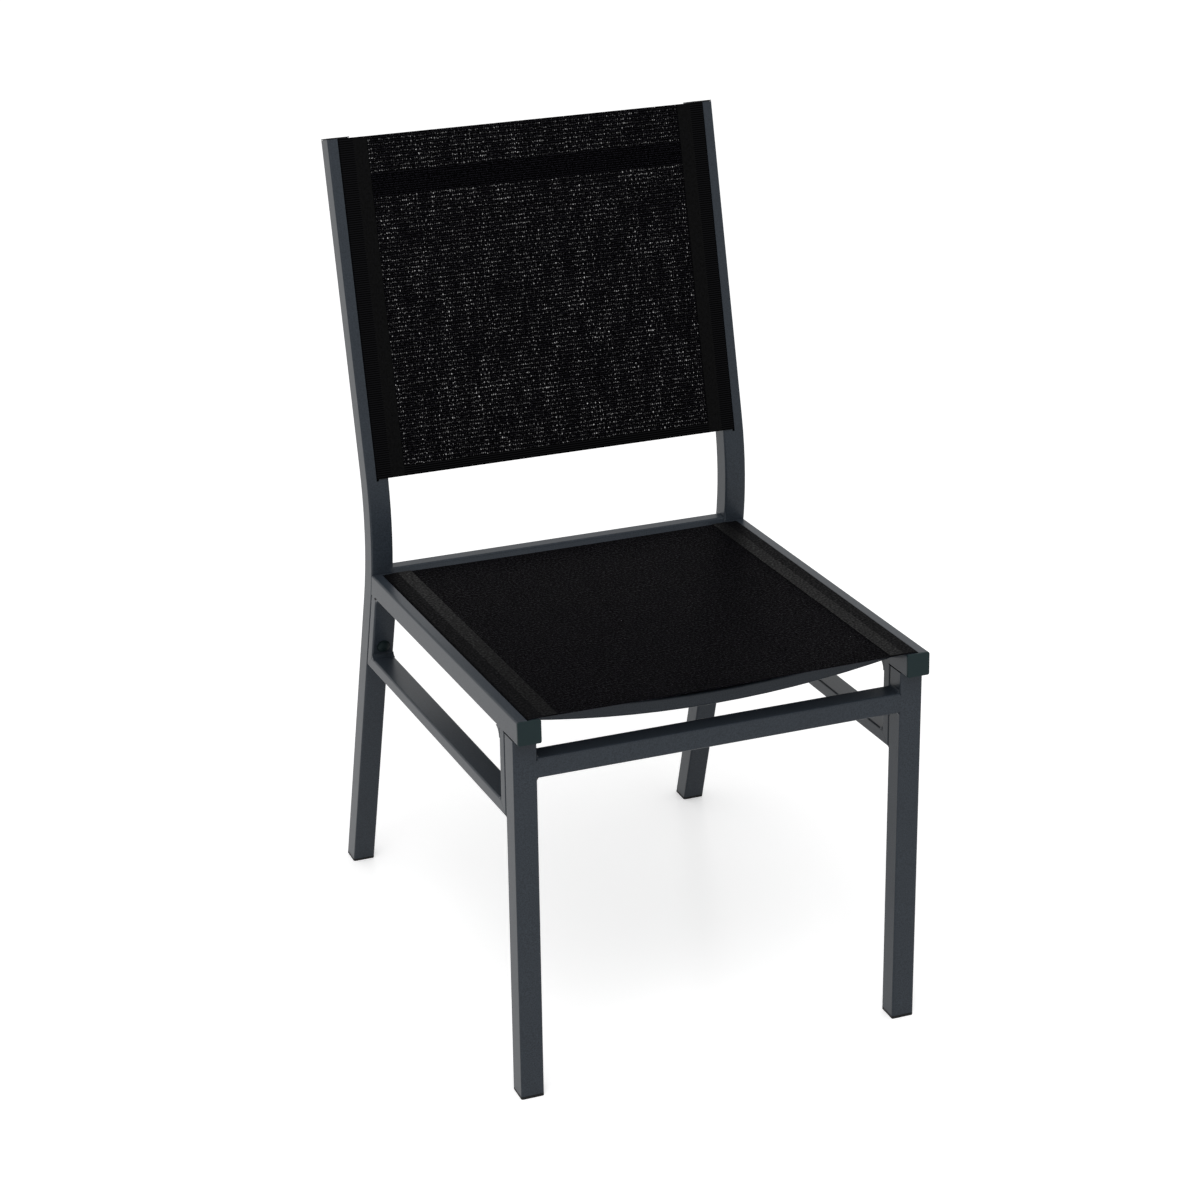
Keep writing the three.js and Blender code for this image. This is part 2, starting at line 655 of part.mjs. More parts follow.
// Centre of the footprint, on the floor
chair.updateMatrixWorld(true);
const box = new THREE.Box3().setFromObject(chair, true);
chair.position.set(-(box.min.x + box.max.x) / 2, -(box.min.y + box.max.y) / 2, -box.min.z);

const part = new THREE.Group();
part.add(chair);

export default part;
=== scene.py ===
import math

import bmesh
import bpy
import numpy as np
from mathutils import Matrix, Vector


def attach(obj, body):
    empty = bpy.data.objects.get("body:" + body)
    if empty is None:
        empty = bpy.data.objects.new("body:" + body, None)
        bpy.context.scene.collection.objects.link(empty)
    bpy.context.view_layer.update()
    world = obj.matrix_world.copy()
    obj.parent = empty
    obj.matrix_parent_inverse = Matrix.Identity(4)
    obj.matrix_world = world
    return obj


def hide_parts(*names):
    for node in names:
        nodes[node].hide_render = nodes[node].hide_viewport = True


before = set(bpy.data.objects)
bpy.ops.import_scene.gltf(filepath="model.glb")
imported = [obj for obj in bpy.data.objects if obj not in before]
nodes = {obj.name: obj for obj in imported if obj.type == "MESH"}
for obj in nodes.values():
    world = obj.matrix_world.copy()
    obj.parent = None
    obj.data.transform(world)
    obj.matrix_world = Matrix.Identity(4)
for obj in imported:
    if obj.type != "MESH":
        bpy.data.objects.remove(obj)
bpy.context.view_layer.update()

MM = 0.001


# Camera: it stands in front of the chair, to the left of its middle as one sees it, and looks down on the
# seat from 23 degrees. Focal length and axis are in pixels of the 1200 x 1200 photograph.
CAMERA_TURN = math.radians(-22.1497)
CAMERA_LIFT = math.radians(22.9475)
CAMERA_ROLL = math.radians(-0.0926)
CAMERA_DISTANCE = 3.45275
CAMERA_AIM = Vector((0, -0.00803, 0.43132))
PHOTO_SIDE = 1200
FOCAL_PIXELS = 3091.21
AXIS_PIXEL = (619.14, 594.28)
SENSOR = 36
FAR_END = 50

backward = Vector((math.sin(CAMERA_TURN) * math.cos(CAMERA_LIFT),
                   -math.cos(CAMERA_TURN) * math.cos(CAMERA_LIFT), math.sin(CAMERA_LIFT)))
level = backward.cross(Vector((0, 0, -1))).normalized()
upward = backward.cross(level)
rightward = level * math.cos(CAMERA_ROLL) + upward * math.sin(CAMERA_ROLL)
upward = upward * math.cos(CAMERA_ROLL) - level * math.sin(CAMERA_ROLL)
camera_data = bpy.data.cameras.new("camera")
camera_data.sensor_width = SENSOR
camera_data.lens = FOCAL_PIXELS / PHOTO_SIDE * SENSOR
camera_data.shift_x = 0.5 - AXIS_PIXEL[0] / PHOTO_SIDE
camera_data.shift_y = AXIS_PIXEL[1] / PHOTO_SIDE - 0.5
camera_data.clip_end = FAR_END
camera = bpy.data.objects.new("camera", camera_data)
turned = Matrix((rightward, upward, backward)).transposed().to_4x4()
camera.matrix_world = Matrix.Translation(CAMERA_AIM + backward * CAMERA_DISTANCE) @ turned
bpy.context.scene.collection.objects.link(camera)
bpy.context.scene.camera = camera
bpy.context.scene.view_settings.view_transform = "Standard"


# Studio: white paper under an even white sky, with one large soft lamp up at the front left. The camera,
# and whatever mirrors or lets through, sees paper and sky as white; the chair is lit below that.
def linear(code):
    """The linear colour of an sRGB hex code, by the sRGB curve, with its alpha of 1."""
    shares = [int(code[i:i + 2], 16) / 255 for i in (1, 3, 5)]
    return [s / 12.92 if s <= 0.04045 else ((s + 0.055) / 1.055) ** 2.4 for s in shares] + [1]


def node(tree, kind, links=None, **settings):
    """Adds a node. Settings are its properties. Links are its inputs, each a socket or a plain value."""
    made = tree.nodes.new(kind)
    for name, value in settings.items():
        setattr(made, name, value)
    for name, value in (links or {}).items():
        if isinstance(value, bpy.types.NodeSocket):
            tree.links.new(value, made.inputs[name])
        else:
            made.inputs[name].default_value = value
    return made


def new_material(name):
    """An empty material and its tree."""
    material = bpy.data.materials.new(name)
    material.use_nodes = True
    material.node_tree.nodes.clear()
    return material, material.node_tree


def seen_directly(tree):
    """1 for a ray from the camera, off a gloss or through clear stuff, else 0: the most of three flags."""
    ray = node(tree, "ShaderNodeLightPath").outputs
    seen = node(tree, "ShaderNodeMath", {0: ray["Is Camera Ray"], 1: ray["Is Glossy Ray"]},
                operation="MAXIMUM")
    seen = node(tree, "ShaderNodeMath", {0: seen.outputs[0], 1: ray["Is Transmission Ray"]},
                operation="MAXIMUM")
    return seen.outputs[0]


SKY_LEVEL = 0.6
LAMP_SIZE = 2.0
LAMP_WATTS = 30
LAMP_TOWARDS = Vector((-0.27, -0.52, 0.81))
LAMP_DISTANCE = 3.0
LAMP_RISE = 0.2
FLOOR_SIDE = 30
FLOOR_COLOR = "#E4E4E4"
FLOOR_GLOW = 0.405
FLOOR_SEEN_COLOR = "#FFFFFF"
FLOOR_GLOSS = 0.05
FLOOR_ROUGHNESS = 0.25

world = bpy.data.worlds.new("sky")
world.use_nodes = True
sky = world.node_tree
sky.nodes.clear()
strength = node(sky, "ShaderNodeMapRange", {0: seen_directly(sky), 3: SKY_LEVEL, 4: 1})
glow = node(sky, "ShaderNodeBackground", {"Color": (1, 1, 1, 1), "Strength": strength.outputs[0]})
node(sky, "ShaderNodeOutputWorld", {0: glow.outputs[0]})
bpy.context.scene.world = world

lamp_data = bpy.data.lights.new("softbox", "AREA")
lamp_data.size = LAMP_SIZE
lamp_data.energy = LAMP_WATTS
lamp = bpy.data.objects.new("softbox", lamp_data)
lamp.location = LAMP_TOWARDS.normalized() * LAMP_DISTANCE + Vector((0, 0, LAMP_RISE))
lamp.rotation_euler = LAMP_TOWARDS.to_track_quat("Z", "Y").to_euler()
bpy.context.scene.collection.objects.link(lamp)

floor_mesh = bpy.data.meshes.new("floor")
half = FLOOR_SIDE / 2
floor_mesh.from_pydata([(-half, -half, 0), (half, -half, 0), (half, half, 0), (-half, half, 0)], [],
                       [(0, 1, 2, 3)])
floor = bpy.data.objects.new("floor", floor_mesh)
bpy.context.scene.collection.objects.link(floor)

# White paper: it glows towards the camera until it is as white as the photograph's, and keeps the shadow.
paper, tree = new_material("white_paper_floor")
seen = seen_directly(tree)
colour = node(tree, "ShaderNodeMix", {0: seen, 6: linear(FLOOR_COLOR), 7: linear(FLOOR_SEEN_COLOR)},
              data_type="RGBA")
glow = node(tree, "ShaderNodeMath", {0: seen, 1: FLOOR_GLOW}, operation="MULTIPLY")
matte = node(tree, "ShaderNodeBsdfDiffuse", {"Color": colour.outputs[2]})
white = node(tree, "ShaderNodeEmission", {"Strength": glow.outputs[0]})
gloss = node(tree, "ShaderNodeBsdfAnisotropic",
             {"Color": (FLOOR_GLOSS,) * 3 + (1,), "Roughness": FLOOR_ROUGHNESS})
both = node(tree, "ShaderNodeAddShader", {0: matte.outputs[0], 1: white.outputs[0]})
both = node(tree, "ShaderNodeAddShader", {0: both.outputs[0], 1: gloss.outputs[0]})
node(tree, "ShaderNodeOutputMaterial", {0: both.outputs[0]})
floor_mesh.materials.append(paper)


# Frame tubes: extruded aluminium, welded, ground smooth and finished with an anthracite powder coat.
# Each shows its CAD shape with the rounded corners and the bend shaded smooth.
COAT_DARK = "#2B3138"
COAT_LIGHT = "#2F353C"
COAT_CLOUD = 60
COAT_ROUGHNESS = 0.34
COAT_ROUGH_SPREAD = 0.04
COAT_IOR = 1.28
COAT_PEEL = 2.5
COAT_PEEL_DEPTH = 0.02
COAT_PEEL_STRENGTH = 0.12
COAT_GRAIN = 0.6
COAT_GRAIN_DEPTH = 0.006
COAT_GRAIN_STRENGTH = 0.1
COAT_FLECK = 1.4
COAT_FLECK_CUT = (0.3, 0.7)
COAT_FLECK_SHADE = (0.72, 1.25)
CREASE = math.radians(40)
DOUBLES = 0.005
AREA_WEIGHT = 100
SIDES = ("left", "right")
PAIRED_TUBES = ("rear_upright", "front_leg", "seat_rail", "ring_lower_bar", "ring_front_stub",
                "ring_rear_stub")
CROSS_TUBES = ("front_stretcher", "seat_spreader_bar", "rear_seat_rail", "back_cross_bar")


def coat_material():
    """Satin polyester powder coat: dark and slightly blue, and its orange peel softens what it mirrors.
    The pigment's fleck keeps broad faces from looking flat. It is drawn coarser than it is, to show."""
    material, tree = new_material("anthracite_powder_coat")
    place = node(tree, "ShaderNodeTexCoord").outputs["Object"]
    peel = node(tree, "ShaderNodeTexNoise", {"Vector": place, "Scale": 1 / (COAT_PEEL * MM), "Detail": 2})
    grain = node(tree, "ShaderNodeTexNoise", {"Vector": place, "Scale": 1 / (COAT_GRAIN * MM), "Detail": 1})
    cloud = node(tree, "ShaderNodeTexNoise", {"Vector": place, "Scale": 1 / (COAT_CLOUD * MM), "Detail": 3})
    fleck = node(tree, "ShaderNodeTexNoise", {"Vector": place, "Scale": 1 / (COAT_FLECK * MM), "Detail": 2})
    tint = node(tree, "ShaderNodeMix", {0: cloud.outputs[0], 6: linear(COAT_DARK), 7: linear(COAT_LIGHT)},
                data_type="RGBA")
    shade = node(tree, "ShaderNodeMapRange", {
        0: fleck.outputs[0], 1: COAT_FLECK_CUT[0], 2: COAT_FLECK_CUT[1], 3: COAT_FLECK_SHADE[0],
        4: COAT_FLECK_SHADE[1]})
    tint = node(tree, "ShaderNodeVectorMath", {0: tint.outputs[2], 3: shade.outputs[0]}, operation="SCALE")
    rough = node(tree, "ShaderNodeMapRange", {
        0: grain.outputs[0], 3: COAT_ROUGHNESS - COAT_ROUGH_SPREAD, 4: COAT_ROUGHNESS + COAT_ROUGH_SPREAD})
    low = node(tree, "ShaderNodeBump", {
        "Height": peel.outputs[0], "Strength": COAT_PEEL_STRENGTH, "Distance": COAT_PEEL_DEPTH * MM})
    fine = node(tree, "ShaderNodeBump", {
        "Height": grain.outputs[0], "Strength": COAT_GRAIN_STRENGTH, "Distance": COAT_GRAIN_DEPTH * MM,
        "Normal": low.outputs[0]})
    shader = node(tree, "ShaderNodeBsdfPrincipled", {
        "Base Color": tint.outputs[0], "IOR": COAT_IOR, "Roughness": rough.outputs[0],
        "Normal": fine.outputs[0]})
    node(tree, "ShaderNodeOutputMaterial", {0: shader.outputs[0]})
    return material


def smooth_copy(name, material):
    """A copy of a CAD node with its vertices merged, creased where its faces turn by more than CREASE."""
    body = bmesh.new()
    body.from_mesh(nodes[name].data)
    bmesh.ops.remove_doubles(body, verts=body.verts, dist=DOUBLES * MM)
    for edge in body.edges:
        edge.smooth = edge.is_manifold and edge.calc_face_angle() < CREASE
    for face in body.faces:
        face.smooth = True
    mesh = bpy.data.meshes.new(name + "_finished")
    body.to_mesh(mesh)
    body.free()
    mesh.materials.clear()
    mesh.materials.append(material)
    piece = bpy.data.objects.new(name + "_finished", mesh)
    bpy.context.scene.collection.objects.link(piece)
    shading = piece.modifiers.new("flat_faces", "WEIGHTED_NORMAL")
    shading.keep_sharp = True
    shading.weight = AREA_WEIGHT
    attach(piece, "root")
    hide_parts(name)


coat = coat_material()
for name in [f"{name}_{side}" for name in PAIRED_TUBES for side in SIDES] + list(CROSS_TUBES):
    smooth_copy(name, coat)


# Ground welds: where the stubs meet the rails and the stretcher meets the legs, the weld metal is ground
# flush, so the side faces run through with no seam. They lie a hair under the faces of the tubes.
# Sizes are in mm, and the pairs are (y, z) of points in the plane of a side frame.
TUBE = 26
SIDE_CENTRE = 220
TUBE_ROUND = 2.2
TUBE_INNER = SIDE_CENTRE - TUBE / 2
WELD_UNDER = 0.02
ROW_SHIFT = -308.0275
SEAT_HEIGHT = 445
PITCH = math.radians(2.65)
RAKE = math.radians(1.3)
PLATE_RISE = 2.6
PLATE_FALL = 1.0
FRONT_STUB_TOP = (-267.534, 417.718)
REAR_STUB_TOP = (156.956, 397.451)
STUB_DEPTH = 15
REAR_STUB_TURN = math.radians(11.504)
REAR_BEAD = 11
BEAD_COVER = 5.5
BEAD_SPREAD = 8.25
BEAD_ROOT = 0.5
BEAD_STEPS = 13
ROUND_STEPS = 6


def new_piece(name, mesh, material):
    """Links a new mesh as a piece of the chair."""
    mesh.materials.append(material)
    piece = bpy.data.objects.new(name, mesh)
    bpy.context.scene.collection.objects.link(piece)
    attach(piece, "root")
    return piece


def grid_mesh(name, points):
    """A tube of quads over an array [along, around, xyz] in mm, its two end rings capped with a face each."""
    along, around = points.shape[:2]
    index = np.arange(along * around).reshape(along, around)
    after = np.roll(index, -1, axis=1)
    quads = np.stack([index[:-1], after[:-1], after[1:], index[1:]], -1).reshape(-1, 4)
    faces = quads.tolist() + [index[0, ::-1].tolist(), index[-1].tolist()]
    mesh = bpy.data.meshes.new(name)
    mesh.from_pydata((points.reshape(-1, 3) * MM).tolist(), [], faces)
    body = bmesh.new()
    body.from_mesh(mesh)
    bmesh.ops.recalc_face_normals(body, faces=body.faces)
    body.to_mesh(mesh)
    body.free()
    return mesh


def side_prism(name, outline, side, under, material):
    """A prism as wide as a side tube less under at each face: an outline of (y, z) moved along x."""
    ends = np.array([TUBE_INNER + under, SIDE_CENTRE + TUBE / 2 - under])
    points = np.zeros((2, len(outline), 3))
    points[:, :, 1:] = np.array(outline, float)
    points[:, :, 0] = ends[:, None] * (1 if side == "right" else -1)
    new_piece(f"{name}_{side}", grid_mesh(f"{name}_{side}", points), material)


def weld_bead(name, corner, turn_a, turn_b, radius, side):
    """A hollow fillet: a profile with rounded edges swept about the centre of an arc that touches both
    flats. The centre is radius / sin(half angle) from the corner, on the line that halves it."""
    half_turn = (turn_b - turn_a) / 2
    middle = turn_a + half_turn
    span = radius / math.sin(abs(half_turn))
    centre = np.array(corner) + span * np.array([math.cos(middle), math.sin(middle)])
    swing = math.pi / 2 - abs(half_turn)
    turns = middle + math.pi + np.linspace(-swing, swing, BEAD_STEPS)
    bend = np.radians(np.linspace(0, 90, ROUND_STEPS))
    wide = TUBE / 2 - WELD_UNDER
    root = [span + TUBE_ROUND + BEAD_ROOT]
    reach = np.concatenate([root, radius + TUBE_ROUND * (1 - np.sin(bend)),
                            radius + TUBE_ROUND * (1 - np.sin(bend[::-1])), root])
    across = np.concatenate([[wide], wide - TUBE_ROUND * (1 - np.cos(bend)),
                             -wide + TUBE_ROUND * (1 - np.cos(bend[::-1])), [-wide]])
    points = np.zeros((len(turns), len(reach), 3))
    points[:, :, 0] = SIDE_CENTRE * (1 if side == "right" else -1) + across
    points[:, :, 1] = centre[0] + np.cos(turns)[:, None] * reach
    points[:, :, 2] = centre[1] + np.sin(turns)[:, None] * reach
    new_piece(f"{name}_{side}", grid_mesh(f"{name}_{side}", points), coat)


def by_rail(start, along, up):
    """A point of the side plane by its distances along and square to the underside of a rail."""
    return (start[0] + along * math.cos(PITCH) + up * math.sin(PITCH),
            start[1] - along * math.sin(PITCH) + up * math.cos(PITCH))


for side in SIDES:
    side_prism("front_stub_weld", [
        by_rail(FRONT_STUB_TOP, TUBE_ROUND, -PLATE_FALL),
        by_rail(FRONT_STUB_TOP, STUB_DEPTH + BEAD_COVER, -PLATE_FALL),
        by_rail(FRONT_STUB_TOP, STUB_DEPTH + BEAD_SPREAD, PLATE_RISE),
        by_rail(FRONT_STUB_TOP, TUBE_ROUND, PLATE_RISE)], side, WELD_UNDER, coat)
    side_prism("rear_stub_weld", [
        by_rail(REAR_STUB_TOP, -BEAD_COVER, -PLATE_FALL),
        by_rail(REAR_STUB_TOP, STUB_DEPTH - TUBE_ROUND, -PLATE_FALL),
        by_rail(REAR_STUB_TOP, STUB_DEPTH - TUBE_ROUND, PLATE_RISE),
        by_rail(REAR_STUB_TOP, -BEAD_SPREAD, PLATE_RISE)], side, WELD_UNDER, coat)
    weld_bead("rear_stub_bead", REAR_STUB_TOP, REAR_STUB_TURN - math.pi / 2, -PITCH - math.pi, REAR_BEAD,
              side)

# The end of the stretcher runs on into the front of the leg, between their rounded corners.
STRETCHER_RISE = 383.35
STRETCHER_HEIGHT = 22.7
STRETCHER_END = 206.7
STRETCHER_LAP = 0.5
LEG_FRONT = (-293.827, 418.315)
half_flat = STRETCHER_HEIGHT / 2 - TUBE_ROUND
front = LEG_FRONT[0] - (LEG_FRONT[1] - STRETCHER_RISE) * math.tan(RAKE)
down_leg = np.array([-math.sin(RAKE), -math.cos(RAKE)])
into_leg = np.array([math.cos(RAKE), -math.sin(RAKE)])
corners = ((WELD_UNDER, -half_flat), (TUBE - WELD_UNDER, -half_flat), (TUBE - WELD_UNDER, half_flat),
           (WELD_UNDER, half_flat))
outline = np.array([np.array([front, STRETCHER_RISE]) + depth * into_leg - up * down_leg
                    for depth, up in corners])
ends = np.array([STRETCHER_END - STRETCHER_LAP, TUBE_INNER + 2 * TUBE_ROUND])
for side, sign in zip(SIDES, (-1, 1)):
    points = np.zeros((2, len(corners), 3))
    points[:, :, 1:] = outline
    points[:, :, 0] = sign * ends[:, None]
    new_piece(f"stretcher_end_weld_{side}", grid_mesh(f"stretcher_end_weld_{side}", points), coat)


# Seams that aren't welded: between the legs and the rails, and between each ring and its two legs. Their
# shadow is painted on as fine black strips at the bottom of the grooves between the rounded tubes.
SEAM_UNDER = 0.75
SEAM_HALF = 1.0
SEAM_GAP = 0.3
SEAM_SHADOW_COLOR = "#060607"
SEAM_ROUGHNESS = 0.8
SEAM_GLOSS = 0.05
RING_LENGTH = 97
REAR_SEAM = ((199.03, 299.4), (176.98, 378.9), (172.59, 396.73), (168.06, 421.5))

# Painted seam shadow: dull black, with hardly any gloss, so that the line stays black from every side.
seam_shadow_material, tree = new_material("painted_seam_shadow")
dull = node(tree, "ShaderNodeBsdfPrincipled", {
    "Base Color": linear(SEAM_SHADOW_COLOR), "Roughness": SEAM_ROUGHNESS, "Specular IOR Level": SEAM_GLOSS})
node(tree, "ShaderNodeOutputMaterial", {0: dull.outputs[0]})


def seam_shadow_strip(name, start, end, side):
    """A strip of painted seam shadow, SEAM_HALF to each side of the line from start to end in the side plane.
    """
    start, end = np.array(start), np.array(end)
    run = (end - start) / np.linalg.norm(end - start)
    beside = SEAM_HALF * np.array([-run[1], run[0]])
    side_prism(name, [start - beside, end - beside, end + beside, start + beside], side, SEAM_UNDER,
               seam_shadow_material)


leg_rear = by_rail(FRONT_STUB_TOP, -SEAM_GAP / 2, 0)
for side in SIDES:
    seam_shadow_strip("leg_top_seam_shadow", by_rail(LEG_FRONT, TUBE_ROUND, -SEAM_GAP / 2),
              by_rail(leg_rear, 0, -SEAM_GAP / 2), side)
    seam_shadow_strip("front_ring_seam_shadow", leg_rear, np.array(leg_rear) + RING_LENGTH * down_leg, side)
    for number, (start, end) in enumerate(zip(REAR_SEAM, REAR_SEAM[1:])):
        seam_shadow_strip(f"rear_ring_seam_{number}", start, end, side)


# Plastic ends: moulded polyethylene caps on the rails, thin plugs on the uprights and glides under the four
# feet. Each is pushed into its tube, and its spark-eroded mould leaves a dull skin.
SKIN = 0.5
SKIN_DEPTH = 0.02
SKIN_STRENGTH = 0.3


def dull_material(name, colour, roughness, gloss):
    """A dull surface with a fine even skin, of a colour, a roughness and a share of the usual gloss."""
    material, tree = new_material(name)
    place = node(tree, "ShaderNodeTexCoord").outputs["Object"]
    skin = node(tree, "ShaderNodeTexNoise", {"Vector": place, "Scale": 1 / (SKIN * MM), "Detail": 2})
    bump = node(tree, "ShaderNodeBump", {
        "Height": skin.outputs[0], "Strength": SKIN_STRENGTH, "Distance": SKIN_DEPTH * MM})
    shader = node(tree, "ShaderNodeBsdfPrincipled", {
        "Base Color": linear(colour), "Roughness": roughness, "Specular IOR Level": gloss,
        "Normal": bump.outputs[0]})
    node(tree, "ShaderNodeOutputMaterial", {0: shader.outputs[0]})
    return material


# The caps are a dark green black, flatter than the coat, and the plugs and glides are all but black.
cap_plastic = dull_material("moulded_cap_polyethylene", "#182729", roughness=0.5, gloss=0.15)
black_plastic = dull_material("moulded_black_polyethylene", "#0A0B0C", roughness=0.55, gloss=0.2)
for side in SIDES:
    smooth_copy(f"rail_cap_{side}", cap_plastic)
    for name in ("upright_plug", "rear_glide", "front_glide"):
        smooth_copy(f"{name}_{side}", black_plastic)


# Ring bolts: steel cap bolts with a washer, which hold each ring to its legs, and a nut on the tail of each,
# inside the leg. Their passivated finish is a dry dark film that hardly shines.
bolt_steel = dull_material("dark_passivated_steel", "#111C1E", roughness=0.6, gloss=0.1)
for side in SIDES:
    for end in ("rear", "front"):
        for kind in ("bolt", "nut"):
            smooth_copy(f"{end}_ring_{kind}_{side}", bolt_steel)


# Slings: black mesh woven from plastic-coated polyester yarn, with a welded pocket and a doubled hem along
# each side. The pockets are pulled over the tubes and held by rods behind their slots.
# A noise is its width and length in mm, the cut that spreads it, and its least value.
RIB_PITCH = 2.5
RIB_DEPTH = 0.3
RIB_STRENGTH = 0.6
HEM_STRENGTH = 0.15
YARN_PITCH = 1.25
YARN_SHARE = 0.3
CREST_POWER = 3
DASH_PITCH = 2.5
DASH_CUT = (0.1, 0.7)
ROW_CUT = (0.25, 0.95)
HALF_ROW_SHARE = 0.55
SWERVE_SIZE = 6
SWERVE = 3
SEEN_THROUGH = 0.9
BROKEN = (2.6, 2.0, 0.46, 0.72, 0)
PATCH = (14, 45, 0.35, 0.65, 0.35)
FLECK = (2.6, 2.6, 0.34, 0.66, 0.15)
STREAK = (1.6, 5, 0.3, 0.7, 0)
# Painted shade and highlight of the weave: one colour for the grooves, and lit crest colours for the open
# mesh and the pocket.
GROOVE_SHADE_COLOR = "#020202"
YARN_LIT_CREST = "#19181D"
POCKET_LIT_CREST = "#151517"
HEM_DARK = "#020202"
HEM_LIGHT = "#0A0A0B"
YARN_ROUGH = 0.8
YARN_SLEEK = 0.36
YARN_GLOSS = 0.005
POCKET_GLOSS = 0.009
HEM_GLOSS = 0.044


def cloth_material(name, gloss):
    """Black mesh with a weft rib every RIB_PITCH and a row of gaps between ribs, every second row finer. Of
    these the eye sees short broken dashes: the squared cosines of both directions, cut, times two noises.
    The real yarn is finer than these ribs and dashes, which are as coarse as the photograph shows them."""
    material, tree = new_material(name)
    flat = node(tree, "ShaderNodeUVMap", uv_map="cloth").outputs[0]
    place = node(tree, "ShaderNodeSeparateXYZ", {0: flat}).outputs
    open_share = node(tree, "ShaderNodeAttribute", attribute_name="open").outputs["Fac"]
    hem_share = node(tree, "ShaderNodeAttribute", attribute_name="hem").outputs["Fac"]

    def ripple(value, pitch):
        """The squared cosine that peaks once a pitch."""
        turn = node(tree, "ShaderNodeMath", {0: value, 1: math.pi / (pitch * MM)}, operation="MULTIPLY")
        wave = node(tree, "ShaderNodeMath", {0: turn.outputs[0]}, operation="COSINE").outputs[0]
        return node(tree, "ShaderNodeMath", {0: wave, 1: wave}, operation="MULTIPLY").outputs[0]

    def uneven(width, length, low, high, least):
        """A noise drawn out to a width and a length on the cloth, spread from least to 1."""
        drawn = node(tree, "ShaderNodeMapping", {
            "Vector": flat, "Scale": (1 / (width * MM), 1 / (length * MM), 1)})
        noise = node(tree, "ShaderNodeTexNoise", {"Vector": drawn.outputs[0], "Scale": 1, "Detail": 2})
        return node(tree, "ShaderNodeMapRange", {
            0: noise.outputs[0], 1: low, 2: high, 3: least, 4: 1}).outputs[0]

    swerve = node(tree, "ShaderNodeTexNoise", {
        "Vector": flat, "Scale": 1 / (SWERVE_SIZE * MM), "Detail": 1}).outputs[0]
    across = node(tree, "ShaderNodeMath", {0: swerve, 1: SWERVE * MM, 2: place[0]},
                  operation="MULTIPLY_ADD").outputs[0]
    fine_row = node(tree, "ShaderNodeMath", {0: ripple(place[1], RIB_PITCH), 1: HALF_ROW_SHARE},
                    operation="MULTIPLY").outputs[0]
    row = node(tree, "ShaderNodeMath", {0: ripple(place[1], 2 * RIB_PITCH), 1: fine_row},
               operation="MAXIMUM").outputs[0]
    row = node(tree, "ShaderNodeMapRange", {0: row, 1: ROW_CUT[0], 2: ROW_CUT[1]},
               interpolation_type="SMOOTHERSTEP").outputs[0]
    dash = node(tree, "ShaderNodeMapRange", {
        0: ripple(across, DASH_PITCH), 1: DASH_CUT[0], 2: DASH_CUT[1]}).outputs[0]
    see = node(tree, "ShaderNodeMath", {0: row, 1: dash}, operation="MULTIPLY").outputs[0]
    for share in (uneven(*BROKEN), uneven(*PATCH), open_share, SEEN_THROUGH):
        see = node(tree, "ShaderNodeMath", {0: see, 1: share}, operation="MULTIPLY").outputs[0]
    alpha = node(tree, "ShaderNodeMath", {0: 1, 1: see}, operation="SUBTRACT").outputs[0]

    height = node(tree, "ShaderNodeMath", {
        0: ripple(place[0], YARN_PITCH), 1: YARN_SHARE, 2: ripple(place[1], RIB_PITCH)},
        operation="MULTIPLY_ADD").outputs[0]
    # Painted shade and highlight: the colour runs from near black in the grooves between ribs and yarns to
    # lighter on their crests.
    crest = node(tree, "ShaderNodeMath", {0: height, 1: CREST_POWER}, operation="POWER").outputs[0]
    light = node(tree, "ShaderNodeMix", {0: open_share, 6: linear(POCKET_LIT_CREST), 7: linear(YARN_LIT_CREST)},
                 data_type="RGBA").outputs[2]
    woven = node(tree, "ShaderNodeMix", {0: crest, 6: linear(GROOVE_SHADE_COLOR), 7: light},
                 data_type="RGBA").outputs[2]
    hem = node(tree, "ShaderNodeMix", {0: uneven(*STREAK), 6: linear(HEM_DARK), 7: linear(HEM_LIGHT)},
               data_type="RGBA").outputs[2]
    tint = node(tree, "ShaderNodeMix", {0: hem_share, 6: woven, 7: hem}, data_type="RGBA").outputs[2]
    fleck = uneven(*FLECK)
    shade = node(tree, "ShaderNodeMapRange", {0: open_share, 3: 1, 4: fleck}).outputs[0]
    tint = node(tree, "ShaderNodeVectorMath", {0: tint, 3: shade}, operation="SCALE").outputs[0]
    rough = node(tree, "ShaderNodeMapRange", {
        0: fleck, 1: FLECK[-1], 3: YARN_ROUGH, 4: YARN_SLEEK}).outputs[0]
    depth = node(tree, "ShaderNodeMapRange", {0: hem_share, 3: RIB_STRENGTH, 4: HEM_STRENGTH}).outputs[0]
    bump = node(tree, "ShaderNodeBump", {"Height": height, "Strength": depth, "Distance": RIB_DEPTH * MM})
    shader = node(tree, "ShaderNodeBsdfPrincipled", {
        "Base Color": tint, "Roughness": rough, "Specular IOR Level": gloss, "Normal": bump.outputs[0],
        "Alpha": alpha})
    node(tree, "ShaderNodeOutputMaterial", {0: shader.outputs[0]})
    return material


# The open mesh is all but dull. The pockets shine a little more, and the pressed hems most, so that they
# show as lighter bands where one looks along the seat.
cloth = cloth_material("black_coated_polyester_mesh", YARN_GLOSS)
hem_cloth = cloth_material("black_pressed_polyester_hem", HEM_GLOSS)
pocket_cloth = cloth_material("black_welded_polyester_pocket", POCKET_GLOSS)

# Across the sling: open mesh, hem, pocket, and a tail that folds into the slot.
POCKET_WIDTH = 15.8
HEM_WIDTH = 16.0
MESH_THICKNESS = 1.0
BAND_THICKNESS = 1.7
STEP = 0.6
POCKET_FALL = 0.7
LIFT = 0.3
FOLD_START = 1.2
FOLD_END = 0.2
FOLD_HEIGHT = 0.6
TUCK = 1.1
TUCK_DEPTH = 1.5
TUCK_ROUND = 0.3
TUCK_TOP = 0.1
FIRST_PLACE = 12
MESH_PLACES = 16
HEM_PLACES = 8
POCKET_PLACES = 9

